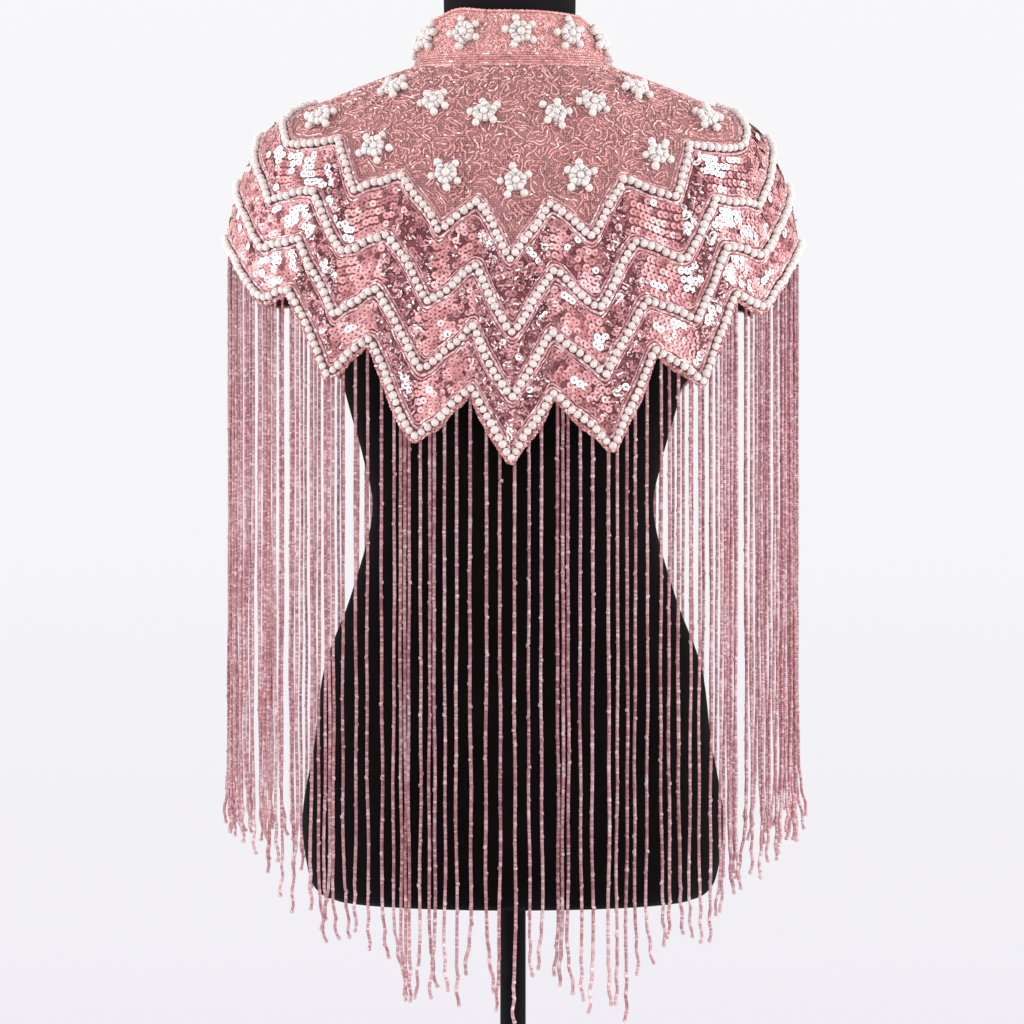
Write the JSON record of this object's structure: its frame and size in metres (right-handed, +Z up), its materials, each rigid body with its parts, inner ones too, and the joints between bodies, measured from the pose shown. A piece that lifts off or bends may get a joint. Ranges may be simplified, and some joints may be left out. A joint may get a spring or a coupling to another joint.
{
  "type": "fringed capelet on a dress form",
  "caption": "Beaded capelet with a stand collar, zigzag pearl rows, sequins and a long bead fringe, resting on a limbless black dress form with a pole and round base.",
  "frame": {"origin": "centre of the base's underside, on the surface it stands on", "axes": "+Z up, +Y the way the wearer would face (front opening side), +X towards the wearer's right; the back of the cape faces -Y"},
  "size_m": [0.4786, 0.32, 1.09],
  "materials": {
    "form_jersey": "matte",
    "stand_metal": "satin",
    "yoke_beadwork": "matte",
    "sequined_cloth": "gloss",
    "collar_beadwork": "satin",
    "beaded_cord": "gloss",
    "pearls": "satin",
    "fringe_beads": "gloss"
  },
  "bodies": {
    "root": {"yoke_back": "yoke_beadwork", "sequin_panel_back": "sequined_cloth", "yoke_front_left": "yoke_beadwork", "sequin_panel_front_left": "sequined_cloth", "yoke_front_right": "yoke_beadwork", "sequin_panel_front_right": "sequined_cloth", "pearl_row_yoke": "pearls", "pearl_row_upper": "pearls", "pearl_row_lower": "pearls", "pearl_row_hem": "pearls", "hem_piping": "beaded_cord", "collar": "collar_beadwork", "collar_top_cord": "beaded_cord", "collar_seam_band": "beaded_cord", "star_back_1": "pearls", "star_back_2": "pearls", "star_back_3": "pearls", "star_back_4": "pearls", "star_back_5": "pearls", "star_back_6": "pearls", "star_back_7": "pearls", "star_back_8": "pearls", "star_back_9": "pearls", "star_back_10": "pearls", "star_back_11": "pearls", "star_back_12": "pearls", "star_back_13": "pearls", "star_front_right_1": "pearls", "star_front_left_1": "pearls", "star_front_right_2": "pearls", "star_front_left_2": "pearls", "star_front_right_3": "pearls", "star_front_left_3": "pearls", "star_front_right_4": "pearls", "star_front_left_4": "pearls", "star_front_right_5": "pearls", "star_front_left_5": "pearls", "star_front_right_6": "pearls", "star_front_left_6": "pearls", "fringe_back_1": "fringe_beads", "fringe_back_2": "fringe_beads", "fringe_back_3": "fringe_beads", "fringe_back_4": "fringe_beads", "fringe_back_5": "fringe_beads", "fringe_back_6": "fringe_beads", "fringe_back_7": "fringe_beads", "fringe_front_left_1": "fringe_beads", "fringe_front_left_2": "fringe_beads", "fringe_front_left_3": "fringe_beads", "fringe_front_left_4": "fringe_beads", "fringe_front_right_1": "fringe_beads", "fringe_front_right_2": "fringe_beads", "fringe_front_right_3": "fringe_beads", "fringe_front_right_4": "fringe_beads", "dress_form": "form_jersey", "base": "stand_metal", "pole": "stand_metal"}
  },
  "joints": []
}
